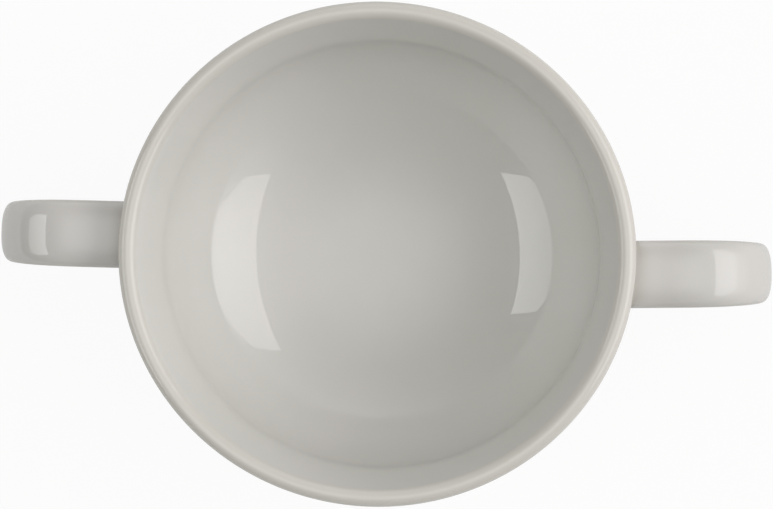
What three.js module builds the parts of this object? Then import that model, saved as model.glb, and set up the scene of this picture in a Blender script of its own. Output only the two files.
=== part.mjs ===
// Two-handled soup cup in glazed porcelain, in millimetres, +Z up.
// The bowl is formed in one piece, with a half-round lip, a collar that leans out from a shoulder inside
// and a foot ring below. Two strap handles are cast apart and luted to the bowl with slip, which is sponged
// to a small flare at each of the four seats.
// The origin is the middle of the foot's resting plane, and the handles lie along X.
import * as THREE from "three";

// Bowl
const RIM_DIAMETER = 112;
const CUP_HEIGHT = 50;
const RIM_OVAL = 0.014; // share by which firing drew the bowl out along X and in along Y
const WALL = 4; // collar, lip and upper wall
const COLLAR_LEAN_DEG = 19.3; // lean of the collar from upright
const SHOULDER_DEPTH = 13.5; // top of the rim to the shoulder, where the collar meets the bowl
const SHOULDER_ROUND = 1.2; // how far its rounding runs along both faces
const BOWL_FULLNESS = 2.4; // 2 makes the inside an ellipse, and more makes its floor flatter
const BASE_THICKNESS = 5;

// Foot ring
const FOOT_RADIUS = 31;
const FOOT_WIDTH = 3.5;
const FOOT_ROUND = 0.8;
const FOOT_FILLET = 2.5;
const FOOT_RECESS = 3.5; // resting plane to the middle of the base
const RECESS_RISE = 1.4; // rise of the base's underside from its middle to the ring
const RECESS_FILLET = 1.2;

// Handles
const HANDLE_TOP_DEPTH = 8; // top of the rim to the strap's upper face
const HANDLE_REACH = 29.7; // edge of the rim to the strap's outermost face
const HANDLE_HEIGHT = 32; // strap's upper face to its lowest face
const HANDLE_SHOULDER = 18; // strap's upper face down to its outermost face
const UPPER_BEND = 18; // how far out the upper bend runs
const LOWER_BEND = 14; // how far out the lower bend runs
const LOWER_RISE_DEG = 9; // climb of the strap from the lower bend to its seat
const STRAP_THICKNESS = 6;
const STRAP_WIDTH_AT_SEAT = 14.8;
const STRAP_WIDTH_AT_BEND = 13.2;
const STRAP_NARROWING = 4; // more keeps the narrowing closer to the outermost part of the bend
const STRAP_SQUARENESS = 2.3; // exponent of the strap's superellipse section
const RIGHT_SKEW_DEG = 4.7; // turn of each handle on its seat, both the same way round
const LEFT_SKEW_DEG = 2.6;

// Slip at the seats
const SLIP_LENGTH = 3; // from the wall to the end of the strap
const SLIP_SPREAD = 2.6; // how far the flare spreads over the wall
const SEAT_GAP = 0.3; // clearance on both faces of the slip

// Facets
const ROUND_STEPS = 64;
const CURVE_STEPS = 10;
const CORNER_STEPS = 3;
const LIP_STEPS = 8;
const SECTION_SIDES = 20;
const STRAP_STEPS = 28;
const FLARE_STEPS = 4;
const CAP_RINGS = 3;
const HALVINGS = 50; // steps of each search by halving
const SAME_POINT = 1e-6; // points closer than this are one point

const GLAZE = new THREE.MeshStandardMaterial({ color: 0xd8d6d0, roughness: 0.12, metalness: 0 });
const SLIP = new THREE.MeshStandardMaterial({ color: 0xd4d2cb, roughness: 0.14, metalness: 0 });

const point = (r, z) => new THREE.Vector2(r, z);
const radians = THREE.MathUtils.degToRad;
const lerp = THREE.MathUtils.lerp;

// Where a function that rises or falls steadily from low to high crosses zero.
function crossing(f, low, high) {
  const rising = f(high) > f(low);
  for (let step = 0; step < HALVINGS; step++) {
    const middle = (low + high) / 2;
    if (f(middle) > 0 === rising) high = middle;
    else low = middle;
  }
  return (low + high) / 2;
}

// Points of a curve between two of its parameters, both ends included.
function stretch(curvePoint, from, to, steps) {
  return Array.from({ length: steps + 1 }, (_, i) => curvePoint(lerp(from, to, i / steps)));
}

// A rounded corner: a parabola from one side to the other, pulled towards the corner.
function rounded(start, corner, end) {
  return new THREE.QuadraticBezierCurve(start, corner, end).getPoints(CORNER_STEPS);
}

// Half section of the bowl, as points of radius and height.

// The lip is a half circle between the collar's two parallel faces.
const lean = radians(COLLAR_LEAN_DEG);
const lipCentre = point(RIM_DIAMETER / 2 - WALL / 2, CUP_HEIGHT - WALL / 2);
const lipPoint = (turn) =>
  point(lipCentre.x + (WALL / 2) * Math.cos(turn), lipCentre.y + (WALL / 2) * Math.sin(turn));
const lip = stretch(lipPoint, -lean, Math.PI - lean, LIP_STEPS);
const collarOutside = lip[0];
const collarInside = lip[LIP_STEPS];
const alongCollar = (top, z) => point(top.x - (top.y - z) * Math.tan(lean), z);

// The collar ends in a rounded shoulder, from which the bowl drops upright.
const shoulder = alongCollar(collarInside, CUP_HEIGHT - SHOULDER_DEPTH);
const collarFootZ = shoulder.y + SHOULDER_ROUND;
const underShoulder = point(shoulder.x, shoulder.y - SHOULDER_ROUND);
const shoulderRound = rounded(alongCollar(collarInside, collarFootZ), shoulder, underShoulder);

// The inside of the bowl is part of a superellipse, upright at the shoulder and level in the middle.
const quarter = Math.PI / 2;
const floorZ = FOOT_RECESS + BASE_THICKNESS;
const bowlDepth = underShoulder.y - floorZ;
const inwards = (t) => Math.max(Math.cos(t * quarter), 0) ** (2 / BOWL_FULLNESS);
const inside = (t) => point(shoulder.x * inwards(t), underShoulder.y - bowlDepth * Math.sin(t * quarter));

// The outside is the inside moved out through the wall, which thickens towards the base.
function outside(t) {
  const fall = bowlDepth * BOWL_FULLNESS * inwards(t) ** (BOWL_FULLNESS - 1);
  const run = 2 * shoulder.x * Math.sin(t * quarter);
  const outwards = point(fall, -run).setLength(lerp(WALL, BASE_THICKNESS, t));
  return inside(t).add(outwards);
}

// The collar's outer face runs into the wall in a shallow waist.
const waistEnd = crossing((t) => outside(t).y - (shoulder.y - 2 * WALL), 0, 1);
const waistPoint = outside(waistEnd);
const waistCorner = alongCollar(
  collarOutside,
  crossing((z) => alongCollar(collarOutside, z).x - waistPoint.x, waistPoint.y, collarFootZ),
);
const waist = rounded(waistPoint, waistCorner, alongCollar(collarOutside, collarFootZ));

// The foot ring stands under the wall, with a fillet on the outside and a shallow recess inside.
const footTop = outside(crossing((t) => outside(t).x - FOOT_RADIUS, 0, 1));
const filletEnd = crossing((t) => outside(t).x - FOOT_RADIUS - FOOT_FILLET, 0, 1);
const footInner = FOOT_RADIUS - FOOT_WIDTH;
const recessZ = FOOT_RECESS + RECESS_RISE;
const recessEdge = point(footInner - RECESS_FILLET, recessZ);
const recess = new THREE.QuadraticBezierCurve(
  point(0, FOOT_RECESS),
  point(recessEdge.x / 2, FOOT_RECESS),
  recessEdge,
);
const foot = [
  ...recess.getPoints(CORNER_STEPS),
  ...rounded(recessEdge, point(footInner, recessZ), point(footInner, recessZ - RECESS_FILLET)),
  ...rounded(point(footInner, FOOT_ROUND), point(footInner, 0), point(footInner + FOOT_ROUND, 0)),
  ...rounded(point(FOOT_RADIUS - FOOT_ROUND, 0), point(FOOT_RADIUS, 0), point(FOOT_RADIUS, FOOT_ROUND)),
];

const outerWall = [
  ...rounded(point(FOOT_RADIUS, footTop.y - FOOT_FILLET), footTop, outside(filletEnd)),
  ...stretch(outside, filletEnd, waistEnd, CURVE_STEPS),
  ...waist,
  collarOutside,
];
const halfSection = [
  ...foot,
  ...outerWall,
  ...lip,
  ...shoulderRound,
  ...stretch(inside, 0, 1, CURVE_STEPS),
].filter((p, i, all) => i === 0 || p.distanceTo(all[i - 1]) > SAME_POINT);

function bowlGeometry() {
  return new THREE.LatheGeometry(halfSection, ROUND_STEPS)
    .rotateX(Math.PI / 2)
    .scale(1 + RIM_OVAL, 1 - RIM_OVAL, 1);
}

// Radius of the outer wall at a height, before the oval.
function wallRadius(z) {
  const above = outerWall.slice(1, -1).filter((p) => p.y < z).length + 1;
  const [low, high] = [outerWall[above - 1], outerWall[above]];
  return lerp(low.x, high.x, (z - low.y) / (high.y - low.y));
}

// How far a point lies outside the wall, along the radius.
function clearance(p) {
  return Math.hypot(p.x / (1 + RIM_OVAL), p.y / (1 - RIM_OVAL)) - wallRadius(p.z);
}

// The point, moved along a heading until it has that clearance.
function towardsWall(p, heading, wanted) {
  const moved = (distance) => p.clone().addScaledVector(heading, distance);
  const excess = (distance) => clearance(moved(distance)) - wanted;
  return moved(crossing(excess, -HANDLE_REACH, p.length()));
}

// Route of the strap's middle line from the upper seat to the lower one, as points of X and Z.
const upperZ = CUP_HEIGHT - HANDLE_TOP_DEPTH - STRAP_THICKNESS / 2;
const lowerZ = CUP_HEIGHT - HANDLE_TOP_DEPTH - HANDLE_HEIGHT + STRAP_THICKNESS / 2;
const outermostZ = CUP_HEIGHT - HANDLE_TOP_DEPTH - HANDLE_SHOULDER;
const outermostX = (RIM_DIAMETER / 2) * (1 + RIM_OVAL) + HANDLE_REACH - STRAP_THICKNESS / 2;
const upperBend = UPPER_BEND - STRAP_THICKNESS / 2;
const lowerBend = LOWER_BEND - STRAP_THICKNESS / 2;
const [upperX, lowerX] = [outermostX - upperBend, outermostX - lowerBend];
const [upperFall, lowerFall] = [upperZ - outermostZ, outermostZ - lowerZ];
const strapStandOff = SLIP_LENGTH + 2 * SEAT_GAP;
const seatX = (z) => wallRadius(z) * (1 + RIM_OVAL) + strapStandOff + STRAP_THICKNESS / 2;

// The lower bend turns a little past level, and the strap climbs straight from there to its seat.
const rise = radians(LOWER_RISE_DEG);
const pastLevel = Math.atan((Math.tan(rise) * lowerBend) / lowerFall);
const bendEnd = point(lowerX - lowerBend * Math.sin(pastLevel), outermostZ - lowerFall * Math.cos(pastLevel));
const climbed = (run) => point(bendEnd.x - run, bendEnd.y + run * Math.tan(rise));
const lowerSeat = climbed(crossing((run) => climbed(run).x - seatX(climbed(run).y), 0, bendEnd.x));

const route = new THREE.Path()
  .moveTo(seatX(upperZ), upperZ)
  .lineTo(upperX, upperZ)
  .absellipse(upperX, outermostZ, upperBend, upperFall, quarter, 0, true)
  .absellipse(lowerX, outermostZ, lowerBend, lowerFall, 0, -quarter - pastLevel, true)
  .lineTo(lowerSeat.x, lowerSeat.y);

// Offsets across and through the strap of the points round its section, grown on all sides by a margin.
function strapSection(width, margin = 0) {
  const power = 2 / STRAP_SQUARENESS;
  const shaped = (half, wave) => half * Math.sign(wave) * Math.abs(wave) ** power;
  return Array.from({ length: SECTION_SIDES }, (_, i) => {
    const turn = (2 * Math.PI * i) / SECTION_SIDES;
    return {
      across: shaped(width / 2 + margin, Math.cos(turn)),
      through: shaped(STRAP_THICKNESS / 2 + margin, Math.sin(turn)),
    };
  });
}

// The handle turns about an upright line through the middle of its upper seat.
const upright = new THREE.Vector3(0, 0, 1);
const seatAxis = new THREE.Vector3(seatX(upperZ), 0, 0);
const skewed = (p, skew) => p.sub(seatAxis).applyAxisAngle(upright, skew).add(seatAxis);

// A ring of points round the strap, square to its route at a share of the route.
function ringAt(share, section, skew) {
  const place = route.getPointAt(share);
  const along = route.getTangentAt(share);
  return section.map(({ across, through }) =>
    skewed(new THREE.Vector3(place.x - along.y * through, across, place.y + along.x * through), skew),
  );
}

// The way from the strap into the wall at the start or the end of the route.
function intoWall(share, skew) {
  const along = route.getTangentAt(share).multiplyScalar(share === 0 ? -1 : 1);
  return new THREE.Vector3(along.x, 0, along.y).applyAxisAngle(upright, skew);
}

const middleOf = (ring) =>
  ring.reduce((sum, p) => sum.add(p), new THREE.Vector3()).divideScalar(ring.length);

// The rings that fill a ring of points from its middle, each brought to one clearance from the wall.
function faceRings(ring, heading, wanted) {
  const middle = middleOf(ring);
  return Array.from({ length: CAP_RINGS }, (_, i) =>
    ring.map((p) => towardsWall(middle.clone().lerp(p, (i + 1) / CAP_RINGS), heading, wanted)),
  );
}

// A closed skin over rings of points, with the first and the last ring filled to their own middle.
function skin(rings) {
  const sides = rings[0].length;
  const points = [...rings.flat(), middleOf(rings[0]), middleOf(rings[rings.length - 1])];
  const [firstMiddle, lastMiddle] = [points.length - 2, points.length - 1];
  const faces = [];
  for (let i = 0; i < sides; i++) {
    const next = (i + 1) % sides;
    for (let row = 0; row < (rings.length - 1) * sides; row += sides) {
      faces.push(row + i, row + next, row + sides + next, row + i, row + sides + next, row + sides + i);
    }
    const last = (rings.length - 1) * sides;
    faces.push(firstMiddle, next, i, lastMiddle, last + i, last + next);
  }
  return new THREE.BufferGeometry().setFromPoints(points).setIndex(faces);
}

// The strap, from one end face to the other, each parallel to the wall that it is luted to.
function strapGeometry(skew) {
  const rings = Array.from({ length: STRAP_STEPS + 1 }, (_, i) => {
    const share = i / STRAP_STEPS;
    const bend = Math.sin(Math.PI * share) ** STRAP_NARROWING;
    const width = lerp(STRAP_WIDTH_AT_SEAT, STRAP_WIDTH_AT_BEND, bend);
    return ringAt(share, strapSection(width), skew);
  });
  const upperEnd = faceRings(rings[0], intoWall(0, skew), strapStandOff);
  const lowerEnd = faceRings(rings[STRAP_STEPS], intoWall(1, skew), strapStandOff);
  return skin([...upperEnd, ...rings, ...lowerEnd.reverse()]);
}

// The slip between the wall and the strap's start or end, flared where it spreads over the wall.
function slipGeometry(share, skew) {
  const heading = intoWall(share, skew);
  const ringWith = (margin) => ringAt(share, strapSection(STRAP_WIDTH_AT_SEAT, margin), skew);
  const flare = Array.from({ length: FLARE_STEPS + 1 }, (_, i) => {
    const done = i / FLARE_STEPS;
    const ring = ringWith(SLIP_SPREAD * (1 - done) ** 2);
    return ring.map((p) => towardsWall(p, heading, SEAT_GAP + SLIP_LENGTH * done));
  });
  const wallFace = faceRings(ringWith(SLIP_SPREAD), heading, SEAT_GAP).slice(0, -1);
  const strapFace = faceRings(ringWith(0), heading, SEAT_GAP + SLIP_LENGTH).slice(0, -1);
  const rings = [...wallFace, ...flare, ...strapFace.reverse()];
  return skin(share === 0 ? rings : rings.reverse());
}

function piece(name, geometry, material) {
  const mesh = new THREE.Mesh(geometry, material);
  mesh.name = name;
  return mesh;
}

// One handle with the slip at its two seats, turned round the bowl to its side.
function handle(side, turn, skewDegrees) {
  const skew = radians(skewDegrees);
  const group = new THREE.Group();
  group.rotation.z = turn;
  group.add(piece(`${side}_handle`, strapGeometry(skew), GLAZE));
  group.add(piece(`${side}_upper_slip_joint`, slipGeometry(0, skew), SLIP));
  group.add(piece(`${side}_lower_slip_joint`, slipGeometry(1, skew), SLIP));
  return group;
}

const cup = new THREE.Group();
cup.add(piece("bowl", bowlGeometry(), GLAZE));
cup.add(handle("right", 0, RIGHT_SKEW_DEG));
cup.add(handle("left", Math.PI, LEFT_SKEW_DEG));

export default cup;
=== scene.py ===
import math

import bpy
import numpy as np
from mathutils import Matrix, Vector


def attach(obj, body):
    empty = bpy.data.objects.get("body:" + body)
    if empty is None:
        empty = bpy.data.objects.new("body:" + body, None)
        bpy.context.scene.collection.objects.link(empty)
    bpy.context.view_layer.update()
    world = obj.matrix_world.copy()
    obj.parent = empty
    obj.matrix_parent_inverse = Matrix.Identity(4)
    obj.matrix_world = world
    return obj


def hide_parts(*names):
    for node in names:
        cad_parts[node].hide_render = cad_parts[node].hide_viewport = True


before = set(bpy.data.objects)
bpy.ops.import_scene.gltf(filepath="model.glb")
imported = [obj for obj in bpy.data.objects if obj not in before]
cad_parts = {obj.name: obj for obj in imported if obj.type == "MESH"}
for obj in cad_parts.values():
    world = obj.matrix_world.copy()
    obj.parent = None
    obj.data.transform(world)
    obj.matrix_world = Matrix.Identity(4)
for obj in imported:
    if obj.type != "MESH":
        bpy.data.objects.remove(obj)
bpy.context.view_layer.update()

# Bowl
# Porcelain clay roller-formed in one piece: half-round lip, collar that leans out from a soft shoulder,
# round bowl and foot ring. A clear glaze covers it all but the foot's resting face, which is wiped bare.
MM = 0.001
RIM_DIAMETER = 112 * MM
CUP_HEIGHT = 50 * MM
RIM_OVAL = 0.014  # share by which firing drew the bowl out along X and in along Y
WALL = 4 * MM
COLLAR_LEAN = math.radians(19.3)
SHOULDER_DEPTH = 13.5 * MM
SHOULDER_ROUND = 1.2 * MM
BOWL_FULLNESS = 2.4  # 2 makes the inside an ellipse, and more makes its floor flatter
BASE_THICKNESS = 5 * MM
FOOT_RADIUS = 31 * MM
FOOT_WIDTH = 3.5 * MM
FOOT_ROUND = 0.8 * MM
FOOT_FILLET = 2.5 * MM
FOOT_RECESS = 3.5 * MM
RECESS_RISE = 1.4 * MM
RECESS_FILLET = 1.2 * MM
BOWL_COLUMNS = 360  # facets round the bowl
GLAZE_CREEP = 0.7 * MM  # length over which the molten glaze evens out an edge or a corner
SHOULDER_EASE = 5.5 * MM  # length over which the forming tool evens out the shoulder
EASE_STEPS = 4000
SEARCH_STEPS = 4001
CORNER_RINGS = 8
LIP_RINGS = 36
OUTER_BOWL_RINGS = 32
WAIST_RINGS = 14
OUTER_COLLAR_RINGS = 20
INNER_COLLAR_RINGS = 36
SHOULDER_RINGS = 16
FLOOR_RINGS = 66
FLOOR_CROWDING = 1.2  # how much closer together the rings lie towards the middle of the floor
RECESS_RINGS = 14


def point(radius, height):
    return np.array([radius, height])


def rounded(start, corner, end, count=CORNER_RINGS):
    """Parabola from start to end that leaves and arrives along the two sides of a corner."""
    t = np.linspace(0, 1, count)[:, None]
    return (1 - t) ** 2 * start + 2 * t * (1 - t) * corner + t**2 * end


def straight(start, end, count):
    """Evenly spaced points of a straight line."""
    return start + np.linspace(0, 1, count)[:, None] * (end - start)


def along_collar(top, height):
    """Point of a collar face at a height: the face leans in below its top by the collar's lean."""
    return point(top[0] - (top[1] - height) * math.tan(COLLAR_LEAN), height)


def eased(line, length):
    """Each point of a line moved to the mean of the line within a length both ways, weighed by a bell.

    The line is cut into even steps and run on straight past both ends, so the ends stay in place."""
    travelled = np.append(0, np.cumsum(np.linalg.norm(np.diff(line, axis=0), axis=1)))
    even = np.linspace(0, travelled[-1], EASE_STEPS)
    steps = np.stack([np.interp(even, travelled, line[:, axis]) for axis in (0, 1)], axis=1)
    bell = np.hanning(2 * round(length / even[1]) + 3)
    margin = len(bell) // 2
    before = steps[0] - (steps[1] - steps[0]) * np.arange(margin, 0, -1)[:, None]
    after = steps[-1] + (steps[-1] - steps[-2]) * np.arange(1, margin + 1)[:, None]
    longer = np.vstack([before, steps, after])
    means = [np.convolve(longer[:, axis], bell / bell.sum(), "valid") for axis in (0, 1)]
    return np.stack([np.interp(travelled, even, mean) for mean in means], axis=1)


# Lip and shoulder, as points of radius and height
lip_turn = np.linspace(-COLLAR_LEAN, math.pi - COLLAR_LEAN, LIP_RINGS)[:, None]
lip_centre = point(RIM_DIAMETER / 2 - WALL / 2, CUP_HEIGHT - WALL / 2)
lip = lip_centre + WALL / 2 * np.hstack([np.cos(lip_turn), np.sin(lip_turn)])
collar_outside, collar_inside = lip[0], lip[-1]
shoulder = along_collar(collar_inside, CUP_HEIGHT - SHOULDER_DEPTH)
collar_foot_height = shoulder[1] + SHOULDER_ROUND
collar_foot = along_collar(collar_inside, collar_foot_height)
under_shoulder = point(shoulder[0], shoulder[1] - SHOULDER_ROUND)

# Inside and outside of the bowl below the shoulder
bowl_depth = under_shoulder[1] - FOOT_RECESS - BASE_THICKNESS


def bowl_inside(t):
    """Superellipse from the shoulder to the floor's middle: a power of a cosine across, a sine down."""
    turn = np.asarray(t)[:, None] * math.pi / 2
    across = np.clip(np.cos(turn), 0, 1) ** (2 / BOWL_FULLNESS)
    return np.hstack([shoulder[0] * across, under_shoulder[1] - bowl_depth * np.sin(turn)])


def bowl_outside(t):
    """The inside moved out along its normal by the wall, which thickens evenly towards the base."""
    turn = np.asarray(t)[:, None] * math.pi / 2
    across = np.clip(np.cos(turn), 0, 1) ** (2 / BOWL_FULLNESS)
    fall = bowl_depth * BOWL_FULLNESS * across ** (BOWL_FULLNESS - 1)
    outwards = np.hstack([fall, -2 * shoulder[0] * np.sin(turn)])
    outwards /= np.linalg.norm(outwards, axis=1, keepdims=True)
    return bowl_inside(t) + outwards * (WALL + (BASE_THICKNESS - WALL) * np.asarray(t)[:, None])


# Places along the outside where the waist under the collar, the fillet and the foot ring begin
fine = np.linspace(0, 1, SEARCH_STEPS)
fine_outside = bowl_outside(fine)
waist_share = np.interp(2 * WALL - shoulder[1], -fine_outside[:, 1], fine)
fillet_share = np.interp(-FOOT_RADIUS - FOOT_FILLET, -fine_outside[:, 0], fine)
foot_share = np.interp(-FOOT_RADIUS, -fine_outside[:, 0], fine)
waist_end, fillet_end, foot_top = bowl_outside([waist_share, fillet_share, foot_share])
waist_top = along_collar(collar_outside, collar_foot_height)
waist_corner = point(
    waist_end[0],
    collar_outside[1] - (collar_outside[0] - waist_end[0]) / math.tan(COLLAR_LEAN),
)
outer_wall = np.vstack([
    rounded(point(FOOT_RADIUS, foot_top[1] - FOOT_FILLET), foot_top, fillet_end),
    bowl_outside(np.linspace(fillet_share, waist_share, OUTER_BOWL_RINGS)[1:-1]),
    rounded(waist_end, waist_corner, waist_top, WAIST_RINGS),
    straight(waist_top, collar_outside, OUTER_COLLAR_RINGS)[1:-1],
])

foot_inner = FOOT_RADIUS - FOOT_WIDTH
recess_height = FOOT_RECESS + RECESS_RISE
recess_edge = point(foot_inner - RECESS_FILLET, recess_height)
recess_middle = point(0, FOOT_RECESS)
recess_wall = point(foot_inner, recess_height - RECESS_FILLET)
underside = np.vstack([
    rounded(recess_middle, point(recess_edge[0] / 2, FOOT_RECESS), recess_edge, RECESS_RINGS)[1:-1],
    rounded(recess_edge, point(foot_inner, recess_height), recess_wall),
    rounded(point(foot_inner, FOOT_ROUND), point(foot_inner, 0), point(foot_inner + FOOT_ROUND, 0)),
    rounded(point(FOOT_RADIUS - FOOT_ROUND, 0), point(FOOT_RADIUS, 0), point(FOOT_RADIUS, FOOT_ROUND)),
])
inside = np.vstack([
    straight(collar_inside, collar_foot, INNER_COLLAR_RINGS)[:-1],
    rounded(collar_foot, shoulder, under_shoulder, SHOULDER_RINGS)[:-1],
    bowl_inside(1 - np.linspace(1, 0, FLOOR_RINGS)[:-1] ** FLOOR_CROWDING),
])
inside = eased(inside, SHOULDER_EASE)
half_section = np.vstack([underside, outer_wall, lip, inside[1:]])
half_section = eased(half_section, GLAZE_CREEP)


def glaze_pooling(section):
    """Turn of the section over a creep length at each point, from -1 on an edge to 1 in a corner.

    The signed turn angles are spread along the section by a bell curve as wide as the creep length."""
    legs = np.diff(section, axis=0)
    heading = np.unwrap(np.arctan2(legs[:, 1], legs[:, 0]))
    turns = np.diff(heading, prepend=heading[0], append=heading[-1])
    travelled = np.append(0, np.cumsum(np.hypot(legs[:, 0], legs[:, 1])))
    bell = np.exp(-(((travelled[:, None] - travelled) / GLAZE_CREEP) ** 2))
    return -np.tanh(bell @ turns)


def revolved(section, columns):
    """Rings of points: each point of a section of radius and height carried round the oval bowl."""
    turn = np.linspace(0, 2 * math.pi, columns, endpoint=False)
    across = section[:, :1] * np.cos(turn) * (1 + RIM_OVAL)
    deep = section[:, :1] * np.sin(turn) * (1 - RIM_OVAL)
    return np.stack([across, deep, np.broadcast_to(section[:, 1:], across.shape)], axis=2)


def skin(name, rings, pooling_and_joint_shade):
    """Closed mesh over a grid of rings: quads between neighbours, and both end rings filled.

    The pooling of the glaze, with the painted shade near the handles' joints, is kept as one number a
    point, for the material."""
    rows, columns = rings.shape[:2]
    grid = np.arange(rows * columns).reshape(rows, columns)
    after = np.roll(grid, -1, axis=1)
    quads = np.stack([grid[:-1], after[:-1], after[1:], grid[1:]], axis=2).reshape(-1, 4)
    first, last = rows * columns, rows * columns + 1
    start_fan = np.stack([np.full(columns, first), after[0], grid[0]], axis=1)
    end_fan = np.stack([np.full(columns, last), grid[-1], after[-1]], axis=1)
    middles = [rings[0].mean(axis=0), rings[-1].mean(axis=0)]
    points = np.vstack([rings.reshape(-1, 3), middles])
    pools = np.broadcast_to(pooling_and_joint_shade, (rows, columns))
    mesh = bpy.data.meshes.new(name)
    mesh.from_pydata(points.tolist(), [], quads.tolist() + start_fan.tolist() + end_fan.tolist())
    mesh.polygons.foreach_set("use_smooth", np.ones(len(mesh.polygons), dtype=bool))
    pool = mesh.attributes.new("pooling_and_joint_shade", "FLOAT", "POINT")
    pools = np.append(pools, [pools[0].mean(), pools[-1].mean()])
    pool.data.foreach_set("value", pools.astype(np.float32))
    piece = bpy.data.objects.new(name, mesh)
    bpy.context.collection.objects.link(piece)
    return piece


class Value:
    """A number that changes over a surface. Sums with it add Math nodes to its shader."""

    def __init__(self, shader, socket):
        self.shader = shader
        self.socket = socket

    def sum(self, operation, first, second):
        return self.shader.node("ShaderNodeMath", {"operation": operation}, {0: first, 1: second})

    def __add__(self, other):
        return self.sum("ADD", self, other)

    def __sub__(self, other):
        return self.sum("SUBTRACT", self, other)

    def __rsub__(self, other):
        return self.sum("SUBTRACT", other, self)

    def __mul__(self, other):
        return self.sum("MULTIPLY", self, other)

    def __pow__(self, other):
        return self.sum("POWER", self, other)

    def __lt__(self, other):
        return self.sum("LESS_THAN", self, other)

    def __abs__(self):
        return self.sum("ABSOLUTE", self, 0)

    __radd__ = __add__
    __rmul__ = __mul__


class Shader:
    """A node tree under construction."""

    def __init__(self, owner):
        owner.use_nodes = True
        self.tree = owner.node_tree
        self.tree.nodes.clear()

    def node(self, kind, settings, sockets, output=0):
        """Adds a node: its settings first, then a value or a link for each named socket."""
        made = self.tree.nodes.new(kind)
        for name, setting in settings.items():
            setattr(made, name, setting)
        for name, content in sockets.items():
            if isinstance(content, Value):
                self.tree.links.new(content.socket, made.inputs[name])
            else:
                made.inputs[name].default_value = content
        return Value(self, made.outputs[output]) if made.outputs else made

    def noise(self, place, size, detail):
        """Cloudy pattern from 0 to 1 with patches about as wide as the size."""
        sockets = {"Vector": place, "Scale": 1 / size, "Detail": detail}
        return self.node("ShaderNodeTexNoise", {}, sockets)

    def between(self, value, low, high):
        """0 below low, 1 above high, and a smooth rise between them."""
        sockets = {"Value": value, "From Min": low, "From Max": high}
        return self.node("ShaderNodeMapRange", {"interpolation_type": "SMOOTHSTEP"}, sockets)

    def blend(self, share, first, second):
        """One colour over another by a share."""
        settings = {"data_type": "RGBA"}
        return self.node("ShaderNodeMix", settings, {0: share, 6: first, 7: second}, 2)


def display(red, green, blue):
    """Linear colour of a screen colour from 0 to 255, by the screen's own curve."""
    share = np.array([red, green, blue]) / 255
    linear = np.where(share <= 0.04045, share / 12.92, ((share + 0.055) / 1.055) ** 2.4)
    return (*linear.tolist(), 1.0)


BOWL_COLOUR = display(206, 204, 199)
BOWL_CLOUD = display(203, 202, 196)
THIN_GLAZE = display(197, 193, 184)
POOLED_GLAZE = display(192, 192, 186)
IRON_SPECK = display(128, 118, 102)
BARE_CLAY = display(226, 220, 207)
GLAZE_IOR = 1.5
GLAZE_ROUGHNESS = 0.015
CLOUD_ROUGHNESS = 0.015  # added in the thick of a cloud
BARE_ROUGHNESS = 0.8
GLAZE_LINE = 0.45 * MM  # height over the resting face where the wiped foot ends
WIPED_SHARE = 0.7  # share of that height that is bare all round
POOL_START, POOL_FULL = 0.05, 0.9  # level of the pooling attribute (glaze pooling on the bowl, painted joint shade on the handles and slips) at which the colour begins to change and has changed
CLOUD_SIZE, CLOUD_DETAIL = 22 * MM, 3.0
CLOUD_START, CLOUD_FULL = 0.3, 0.7
SPECK_SPACING = 9 * MM
SPECK_SHARE = 0.12  # share of the places for a speck that have one
SPECK_RADIUS = 0.16 * MM
SPECK_CORE = 0.5  # share of the radius with the speck's full colour
SPECK_STRENGTH = 0.7
RIPPLE_SIZE, RIPPLE_HEIGHT, RIPPLE_DETAIL = 9 * MM, 0.006 * MM, 1.0
PEEL_SIZE, PEEL_HEIGHT, PEEL_DETAIL = 1.1 * MM, 0.0006 * MM, 1.0
GRAIN_SIZE, GRAIN_HEIGHT, GRAIN_DETAIL = 0.5 * MM, 0.03 * MM, 4.0


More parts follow.
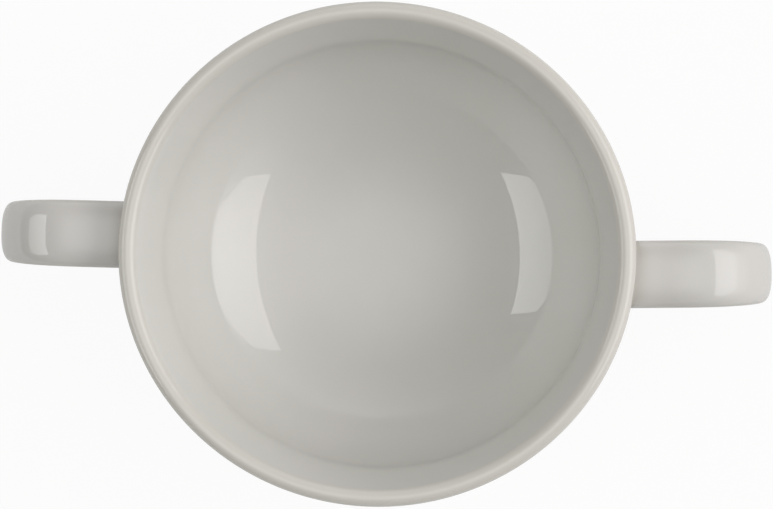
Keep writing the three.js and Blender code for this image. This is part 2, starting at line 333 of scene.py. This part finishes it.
def fired_glaze(name, body_colour, cloud_colour, pooled_and_shade_colour):
    """Clear glaze over porcelain: it thins to the warm clay on edges and pools to a grey in corners. On
    the handles and slips the second colour is painted shade near the joints with the bowl.

    Slow clouds, a few iron specks, ripples left by the flow, a fine orange peel, and a bare foot.
    The relief is the sum of the ripples, the peel and the bare clay's grain, each times its height."""
    material = bpy.data.materials.new(name)
    shader = Shader(material)
    place = shader.node("ShaderNodeTexCoord", {}, {}, "Object")
    pooling_and_joint_shade = shader.node("ShaderNodeAttribute", {"attribute_name": "pooling_and_joint_shade"}, {}, "Fac")
    cloud = shader.noise(place, CLOUD_SIZE, CLOUD_DETAIL)
    ripple = shader.noise(place, RIPPLE_SIZE, RIPPLE_DETAIL)
    peel = shader.noise(place, PEEL_SIZE, PEEL_DETAIL)
    grain = shader.noise(place, GRAIN_SIZE, GRAIN_DETAIL)
    height = shader.node("ShaderNodeSeparateXYZ", {}, {"Vector": place}, "Z")
    wavy_height = height + GLAZE_LINE * (ripple - 0.5)
    bare = 1 - shader.between(wavy_height, GLAZE_LINE * WIPED_SHARE, GLAZE_LINE)

    speck_sockets = {"Vector": place, "Scale": 1 / SPECK_SPACING}
    nearest = shader.node("ShaderNodeTexVoronoi", {}, speck_sockets, "Distance")
    chance = shader.node("ShaderNodeTexVoronoi", {}, speck_sockets, "Color")
    chosen = shader.node("ShaderNodeSeparateColor", {}, {"Color": chance}, "Red") < SPECK_SHARE
    speck_edge = SPECK_RADIUS / SPECK_SPACING
    speck = 1 - shader.between(nearest, SPECK_CORE * speck_edge, speck_edge)

    colour = shader.blend(shader.between(cloud, CLOUD_START, CLOUD_FULL), body_colour, cloud_colour)
    colour = shader.blend(shader.between(pooling_and_joint_shade * -1, POOL_START, POOL_FULL), colour, THIN_GLAZE)
    # On the handles and slips this blends in painted shade near where a strap meets the bowl.
    colour = shader.blend(shader.between(pooling_and_joint_shade, POOL_START, POOL_FULL), colour, pooled_and_shade_colour)
    colour = shader.blend(speck * chosen * SPECK_STRENGTH, colour, IRON_SPECK)
    colour = shader.blend(bare, colour, BARE_CLAY)
    glaze_roughness = GLAZE_ROUGHNESS + CLOUD_ROUGHNESS * cloud
    roughness = glaze_roughness + bare * (BARE_ROUGHNESS - glaze_roughness)
    relief = RIPPLE_HEIGHT * ripple + PEEL_HEIGHT * peel + GRAIN_HEIGHT * bare * grain
    bump = {"Strength": 1.0, "Distance": 1.0, "Height": relief}
    normal = shader.node("ShaderNodeBump", {}, bump, "Normal")
    surface = {"Base Color": colour, "Roughness": roughness, "IOR": GLAZE_IOR, "Normal": normal}
    porcelain = shader.node("ShaderNodeBsdfPrincipled", {}, surface)
    shader.node("ShaderNodeOutputMaterial", {}, {"Surface": porcelain})
    return material


bowl_glaze = fired_glaze("bowl_glaze", BOWL_COLOUR, BOWL_CLOUD, POOLED_GLAZE)
bowl_rings = revolved(half_section, BOWL_COLUMNS)
bowl = skin("bowl_glazed", bowl_rings, glaze_pooling(half_section)[:, None])
bowl.data.materials.append(bowl_glaze)
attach(bowl, "root")
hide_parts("bowl")

# Handles
# Two porcelain straps with a flattened oval section, each cast to an ear shape in its own mould.
# They are set on the bowl by hand, so each is turned a little on its seat, and glazed with the bowl.
HANDLE_TOP_DEPTH = 8 * MM
HANDLE_REACH = 29.7 * MM
HANDLE_HEIGHT = 32 * MM
HANDLE_SHOULDER = 18 * MM
UPPER_BEND = 18 * MM
LOWER_BEND = 14 * MM
LOWER_RISE = math.radians(9)
STRAP_THICKNESS = 6 * MM
STRAP_WIDTH_AT_SEAT = 14.8 * MM
STRAP_WIDTH_AT_BEND = 13.2 * MM
STRAP_NARROWING = 4  # more keeps the narrowing closer to the outermost part of the bend
STRAP_SQUARENESS = 2.6
HANDLE_SKEW = {"right": math.radians(4.7), "left": math.radians(2.6)}
HANDLE_TURN = {"right": 0.0, "left": math.pi}
STRAP_STAND_OFF = 3.6 * MM  # wall to the end of the strap, along its route
STRAP_SINK = 1.5 * MM  # how far the strap's ends reach into the slip
STRAP_ROWS = 160
STRAP_COLUMNS = 96
LEVEL_STEPS, BEND_STEPS, CLIMB_STEPS = 100, 200, 2000  # along the route, before it is spaced evenly
FACE_RINGS, FACE_MIDDLE = 8, 0.1  # rings on the face of an end, and the share at which they begin
NECK_RINGS = 10
WALL_SEARCH = RIM_DIAMETER / 3
HALVINGS = 40
MOULD_EASE = 3 * MM  # length over which the mould eases one bend into the next
HANDLE_SHADED_COLOUR = display(200, 197, 193)  # painted shade: the bowl's glaze set a little darker, so that the handles' lit tops come out dimmer than the bowl
# The handles' cloud colour carries the same painted shade.
HANDLE_SHADED_CLOUD = display(197, 195, 190)
JOINT_PAINTED_SHADE = display(178, 174, 166)  # painted shade where a strap meets the bowl, under the rim
# How strongly the painted shade darkens the glaze at a joint.
JOINT_SHADE_STRENGTH = 0.8
JOINT_SHADE_REACH = 5.5 * MM  # how far from the wall the painted shade reaches
EDGE_THINNING = 0.55  # how thin the glaze is along the strap's two edges
EDGE_SHARPNESS = 8
# The handles' glaze is the bowl's glaze darkened by painted shade, with painted joint shade as its
# corner colour.
handle_glaze = fired_glaze("handle_glaze", HANDLE_SHADED_COLOUR, HANDLE_SHADED_CLOUD, JOINT_PAINTED_SHADE)


def wall_radius(height):
    """Radius of the outer wall at a height, before the oval."""
    return np.interp(height, outer_wall[:, 1], outer_wall[:, 0])


def wall_clearance(points):
    """How far points lie outside the wall, along the radius of the oval."""
    radius = np.hypot(points[..., 0] / (1 + RIM_OVAL), points[..., 1] / (1 - RIM_OVAL))
    return radius - wall_radius(points[..., 2])


def towards_wall(points, heading, wanted):
    """Points moved along a heading to the wanted clearance, found by halving the distance."""
    near = np.full(points.shape[:-1], -HANDLE_REACH)
    far = np.full(points.shape[:-1], WALL_SEARCH)
    for _ in range(HALVINGS):
        middle = (near + far) / 2
        outside = wall_clearance(points + middle[..., None] * heading) > wanted
        near = np.where(outside, middle, near)
        far = np.where(outside, far, middle)
    return points + near[..., None] * heading


upper_height = CUP_HEIGHT - HANDLE_TOP_DEPTH - STRAP_THICKNESS / 2
lower_height = CUP_HEIGHT - HANDLE_TOP_DEPTH - HANDLE_HEIGHT + STRAP_THICKNESS / 2
outermost_height = CUP_HEIGHT - HANDLE_TOP_DEPTH - HANDLE_SHOULDER
outermost = RIM_DIAMETER / 2 * (1 + RIM_OVAL) + HANDLE_REACH - STRAP_THICKNESS / 2
upper_bend, lower_bend = UPPER_BEND - STRAP_THICKNESS / 2, LOWER_BEND - STRAP_THICKNESS / 2
upper_fall, lower_fall = upper_height - outermost_height, outermost_height - lower_height


def seat_reach(height):
    """How far out the strap's end begins at a height: the wall, the stand-off and half a strap."""
    return wall_radius(height) * (1 + RIM_OVAL) + STRAP_STAND_OFF + STRAP_THICKNESS / 2


def strap_route(rows):
    """Middle line of a strap, as reach and height: level, two quarter ellipses, and a climb to the seat.

    The lower bend runs past level to the climb's slope. The line is eased and then spaced evenly."""
    past_level = math.atan(math.tan(LOWER_RISE) * lower_bend / lower_fall)
    upper_turn = np.linspace(math.pi / 2, 0, BEND_STEPS)
    lower_turn = np.linspace(0, -math.pi / 2 - past_level, BEND_STEPS)
    reach = outermost - upper_bend * (1 - np.cos(upper_turn))
    upper = np.stack([reach, outermost_height + upper_fall * np.sin(upper_turn)], axis=1)
    reach = outermost - lower_bend * (1 - np.cos(lower_turn))
    lower = np.stack([reach, outermost_height + lower_fall * np.sin(lower_turn)], axis=1)
    run = np.linspace(0, lower[-1, 0], CLIMB_STEPS)
    climb = lower[-1] + np.stack([-run, run * math.tan(LOWER_RISE)], axis=1)
    climb = climb[climb[:, 0] > seat_reach(climb[:, 1])]
    level = straight(point(seat_reach(upper_height), upper_height), upper[0], LEVEL_STEPS)
    line = np.vstack([level[:-1], upper[:-1], lower[:-1], climb])
    return evenly_spaced(eased(line, MOULD_EASE), rows)


def evenly_spaced(line, count):
    """Points at even steps of length along a line."""
    travelled = np.append(0, np.cumsum(np.linalg.norm(np.diff(line, axis=0), axis=1)))
    wanted = np.linspace(0, travelled[-1], count)
    return np.stack([np.interp(wanted, travelled, line[:, axis]) for axis in (0, 1)], axis=1)


def strap_section(width, margin):
    """Superellipse round the strap, grown on all sides by a margin, as offsets across and through it."""
    turn = np.linspace(0, 2 * math.pi, STRAP_COLUMNS, endpoint=False)
    power = 2 / STRAP_SQUARENESS
    across = np.sign(np.cos(turn)) * np.abs(np.cos(turn)) ** power
    through = np.sign(np.sin(turn)) * np.abs(np.sin(turn)) ** power
    return across * (width / 2 + margin), through * (STRAP_THICKNESS / 2 + margin)


route = strap_route(STRAP_ROWS)
route_heading = np.gradient(route, axis=0)
route_heading /= np.linalg.norm(route_heading, axis=1, keepdims=True)
route_share = np.linspace(0, 1, STRAP_ROWS)


def strap_rings(rows, margin):
    """Rings of points square to the route at some of its rows, narrowest at the bend.

    The width falls from the seat's to the bend's with a power of the sine of the share of the route."""
    place, along = route[rows], route_heading[rows]
    bend = np.sin(math.pi * route_share[rows])[:, None] ** STRAP_NARROWING
    width = STRAP_WIDTH_AT_SEAT + (STRAP_WIDTH_AT_BEND - STRAP_WIDTH_AT_SEAT) * bend
    across, through = strap_section(width, margin)
    reach = place[:, :1] - along[:, 1:] * through
    height = place[:, 1:] + along[:, :1] * through
    return np.stack([reach, np.broadcast_to(across, reach.shape), height], axis=2)


def on_side(points, side, place=1.0):
    """Points or headings turned by the handle's skew about its upper seat, then round to its side."""
    seat = np.array([route[0, 0], 0, 0]) * place
    turn, skew = HANDLE_TURN[side], HANDLE_SKEW[side]
    skewed = (points - seat) @ np.array(Matrix.Rotation(-skew, 3, "Z")) + seat
    return skewed @ np.array(Matrix.Rotation(-turn, 3, "Z"))


def into_wall(row, side):
    """Heading of the strap's first or last row into the wall."""
    along = route_heading[row] * (-1 if row == 0 else 1)
    return on_side(np.array([along[0], 0, along[1]]), side, 0.0)


def end_rings(row, side, clearance):
    """The strap's end: a face of growing rings at one clearance from the wall, and a straight neck.

    The neck's rings crowd towards the face, so that the shading turns sharply there."""
    ring = strap_rings(np.array([row]), 0)[0]
    middle = ring.mean(axis=0)
    filled = middle + np.linspace(FACE_MIDDLE, 1, FACE_RINGS)[:, None, None] * (ring - middle)
    face = towards_wall(on_side(filled, side), into_wall(row, side), clearance)
    neck_share = np.linspace(0, 1, NECK_RINGS)[1:-1, None, None] ** 2
    return np.vstack([face, face[-1] + neck_share * (on_side(ring, side) - face[-1])])


def painted_joint_shade(rings):
    """Painted shade towards a joint: a bell curve of each ring's clearance from the wall."""
    clearance = wall_clearance(rings).mean(axis=1, keepdims=True)
    return JOINT_SHADE_STRENGTH * np.exp(-((clearance / JOINT_SHADE_REACH) ** 2))


section_across = strap_section(STRAP_WIDTH_AT_BEND, 0)[0] / (STRAP_WIDTH_AT_BEND / 2)
strap_pooling = -EDGE_THINNING * np.abs(section_across) ** EDGE_SHARPNESS

for side in ("right", "left"):
    last_row = STRAP_ROWS - 1
    strap = on_side(strap_rings(np.arange(STRAP_ROWS), 0), side)
    strap_end = STRAP_STAND_OFF - STRAP_SINK
    upper_end = end_rings(0, side, strap_end)
    lower_end = end_rings(last_row, side, strap_end)[::-1]
    rings = np.vstack([upper_end, strap, lower_end])
    # Painted shade darkens each strap near its joints with the bowl.
    handle = skin(f"{side}_handle_glazed", rings, strap_pooling + painted_joint_shade(rings))
    handle.data.materials.append(handle_glaze)
    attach(handle, "root")
    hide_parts(f"{side}_handle")

# Slip joints
# Thick slip lutes each end of a strap to the bowl and is sponged to a smooth fillet before the firing.
# The same glaze runs over the strap, the slip and the bowl, and the fillet is darkened with painted
# shade.
SLIP_LENGTH = 3 * MM  # from the wall along the strap
SLIP_SPREAD = 2.6 * MM  # from the strap over the wall
SLIP_START, SLIP_END = -0.3, 1.25  # the fillet goes on under the strap's skin and behind the wall's
SLIP_FADE = 4  # more keeps the painted shade closer to the wall
SLIP_ROWS = 32
SLIP_COLOUR = display(203, 201, 196)
SLIP_CLOUD = display(200, 199, 193)
# The slip's glaze takes the painted joint shade as its corner colour.
slip_glaze = fired_glaze("slip_glaze", SLIP_COLOUR, SLIP_CLOUD, JOINT_PAINTED_SHADE)


def slip_rings(row, side):
    """Fillet round one end of a strap, as rings that widen by a margin towards the wall.

    The margin grows with the square of t, and the clearance falls with the square of 1 - t. Both go on
    with their sign turned past 0 and 1, so the fillet leaves the strap and meets the wall without
    an edge. The painted shade fades out where the fillet meets the wall."""
    heading = into_wall(row, side)
    t = np.linspace(SLIP_START, SLIP_END, SLIP_ROWS)[:, None]
    rings = strap_rings(np.full(SLIP_ROWS, row), SLIP_SPREAD * t * np.abs(t))
    rings = towards_wall(on_side(rings, side), heading, SLIP_LENGTH * (1 - t) * np.abs(1 - t))
    pooling_and_joint_shade = painted_joint_shade(rings) * (1 - np.clip(t, 0, 1) ** SLIP_FADE)
    return (rings[::-1], pooling_and_joint_shade[::-1]) if row == 0 else (rings, pooling_and_joint_shade)


for side in ("right", "left"):
    for end, row in (("upper", 0), ("lower", STRAP_ROWS - 1)):
        rings, pooling_and_joint_shade = slip_rings(row, side)
        slip = skin(f"{side}_{end}_slip_glazed", rings, pooling_and_joint_shade)
        slip.data.materials.append(slip_glaze)
        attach(slip, "root")
        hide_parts(f"{side}_{end}_slip_joint")

# Floor and studio
# A plain white sweep under the cup, one large softbox on the right, a smaller one on the left,
# and a room that gives back most light from above, from the right and from the far wall.
FLOOR_HALF = 4.0
FLOOR_COLOUR = display(220, 220, 218)
FLOOR_WHITE = 0.93  # share of plain white that the camera sees over the lit floor
FLOOR_SHEEN = 0.3  # the same in the glaze's reflections
floor_mesh = bpy.data.meshes.new("floor")
floor_corners = [(-FLOOR_HALF, -FLOOR_HALF, 0), (FLOOR_HALF, -FLOOR_HALF, 0)]
floor_corners += [(FLOOR_HALF, FLOOR_HALF, 0), (-FLOOR_HALF, FLOOR_HALF, 0)]
floor_mesh.from_pydata(floor_corners, [], [(0, 1, 2, 3)])
floor = bpy.data.objects.new("floor", floor_mesh)
bpy.context.collection.objects.link(floor)
floor_material = bpy.data.materials.new("white_sweep")
sweep = Shader(floor_material)
camera_ray = sweep.node("ShaderNodeLightPath", {}, {}, "Is Camera Ray")
glossy_ray = sweep.node("ShaderNodeLightPath", {}, {}, "Is Glossy Ray")
clear_ray = sweep.node("ShaderNodeLightPath", {}, {}, "Is Transmission Ray")
whitened = FLOOR_WHITE * (camera_ray + clear_ray) + FLOOR_SHEEN * glossy_ray
paper = sweep.node("ShaderNodeBsdfDiffuse", {}, {"Color": FLOOR_COLOUR})
white = sweep.node("ShaderNodeEmission", {}, {"Strength": 1.0})
shown = sweep.node("ShaderNodeMixShader", {}, {0: whitened, 1: paper, 2: white})
sweep.node("ShaderNodeOutputMaterial", {}, {"Surface": shown})
floor_mesh.materials.append(floor_material)

# Light that the room gives back, as a heading, how narrow the glow is about it, and its radiance there
ROOM_GLOWS = (
    ((0.0, 0.0, 1.0), 12, 2.5),  # ceiling over the cup
    ((0.897, 0.065, 0.438), 6, 2.75),  # wall behind the right softbox
    ((-0.072, 0.982, 0.174), 6, 1.6),  # far wall
    ((0.063, -0.864, 0.5), 6, 0.4),  # near side
)
world = bpy.data.worlds.new("studio")
bpy.context.scene.world = world
room = Shader(world)
aim = room.node("ShaderNodeTexCoord", {}, {}, "Generated")


def glow(heading, narrowness):
    """Light round a heading: the cosine of the angle from it, raised to a power, and none behind it."""
    settings = {"operation": "DOT_PRODUCT"}
    cosine = room.node("ShaderNodeVectorMath", settings, {0: aim, 1: heading}, "Value")
    return room.node("ShaderNodeClamp", {}, {"Value": cosine}) ** narrowness


room_light = sum(radiance * glow(heading, narrowness) for heading, narrowness, radiance in ROOM_GLOWS)
room_seen = room.node("ShaderNodeLightPath", {}, {}, "Is Camera Ray")
light = room.node("ShaderNodeBackground", {}, {"Strength": room_light})
plain = room.node("ShaderNodeBackground", {}, {"Color": (1, 1, 1, 1), "Strength": 1.0})
backdrop = room.node("ShaderNodeMixShader", {}, {0: room_seen, 1: light, 2: plain})
room.node("ShaderNodeOutputWorld", {}, {"Surface": backdrop})


LOWER_EDGE = 0.45  # share of a softbox's light that is left at its lower edge


def softbox(name, top, bottom, width, cut, radiance, tint):
    """Lamp between level top and bottom edges, facing the cup, with its lower corners cut off.

    Its power is its radiance times its area times pi. A point is lit where its height over the bottom
    edge is more than the cut's slope times its distance past the cut's start. The cut is a width and
    a height. The light falls evenly from the top edge to its share at the bottom edge."""
    top, bottom = Vector(top), Vector(bottom)
    back = Vector((top.x + bottom.x, top.y + bottom.y, 0)).normalized()
    up = (top - bottom).normalized()
    across = up.cross(back).normalized()
    turned = Matrix((across, up, across.cross(up))).transposed().to_4x4()
    height = (top - bottom).length
    lamp_data = bpy.data.lights.new(name, "AREA")
    lamp_data.shape = "RECTANGLE"
    lamp_data.size = width
    lamp_data.size_y = height
    lamp_data.color = tint
    lamp_data.energy = radiance * math.pi * width * height
    fabric = Shader(lamp_data)
    place = fabric.node("ShaderNodeNewGeometry", {}, {}, "Parametric")
    aside = abs(fabric.node("ShaderNodeSeparateXYZ", {}, {"Vector": place}, "X") - 0.5) * width
    rise = fabric.node("ShaderNodeSeparateXYZ", {}, {"Vector": place}, "Y")
    cut_width, cut_height = cut
    lit = (aside - (width / 2 - cut_width)) * (cut_height / cut_width) < rise * height
    strength = lit * (LOWER_EDGE + (1 - LOWER_EDGE) * rise)
    shine = fabric.node("ShaderNodeEmission", {}, {"Strength": strength})
    fabric.node("ShaderNodeOutputLight", {}, {"Surface": shine})
    lamp = bpy.data.objects.new(name, lamp_data)
    lamp.matrix_world = Matrix.Translation((top + bottom) / 2) @ turned
    lamp.visible_camera = False
    bpy.context.collection.objects.link(lamp)


softbox(
    "right_softbox",
    top=(1.011, 0.158, 1.325),
    bottom=(1.597, 0.201, 0.598),
    width=1.95,
    cut=(0.42, 0.43),
    radiance=2.35,
    tint=(1.0, 0.968, 0.992),
)
softbox(
    "left_softbox",
    top=(-1.209, -0.193, 1.187),
    bottom=(-1.712, -0.230, 0.515),
    width=1.375,
    cut=(0.22, 0.3),
    radiance=3.45,
    tint=(0.985, 1.0, 0.985),
)

# Camera
# A long lens almost straight over the cup, leaning towards the right handle,
# with the cup turned a little in the frame.
IMAGE_WIDTH = 773
SENSOR_WIDTH = 36  # in millimetres, as Blender counts it
LEAN = math.radians(4.3)
ROLL = math.radians(4.2)
DISTANCE = 1.0  # from the middle of the rim
PIXELS_PER_METRE = 4586.0  # at the rim
RIM_MIDDLE = point(375.6, 254.2)  # pixel of the middle of the rim
IMAGE_MIDDLE = point(386.5, 254.5)
frame_right = Vector((math.cos(ROLL), math.sin(ROLL), 0))
towards_camera = math.cos(LEAN) * Vector((0, 0, 1)) + math.sin(LEAN) * frame_right
frame_right = math.cos(LEAN) * frame_right - math.sin(LEAN) * Vector((0, 0, 1))
frame_up = towards_camera.cross(frame_right)
aside, above = ((IMAGE_MIDDLE - RIM_MIDDLE) / PIXELS_PER_METRE).tolist()
aim_point = Vector((0, 0, CUP_HEIGHT)) + aside * frame_right - above * frame_up
camera_data = bpy.data.cameras.new("camera")
camera_data.sensor_width = SENSOR_WIDTH
camera_data.lens = SENSOR_WIDTH * DISTANCE * PIXELS_PER_METRE / IMAGE_WIDTH
camera = bpy.data.objects.new("camera", camera_data)
camera_turn = Matrix((frame_right, frame_up, towards_camera)).transposed().to_4x4()
camera.matrix_world = Matrix.Translation(aim_point + DISTANCE * towards_camera) @ camera_turn
bpy.context.collection.objects.link(camera)
bpy.context.scene.camera = camera
bpy.context.scene.view_settings.view_transform = "Standard"
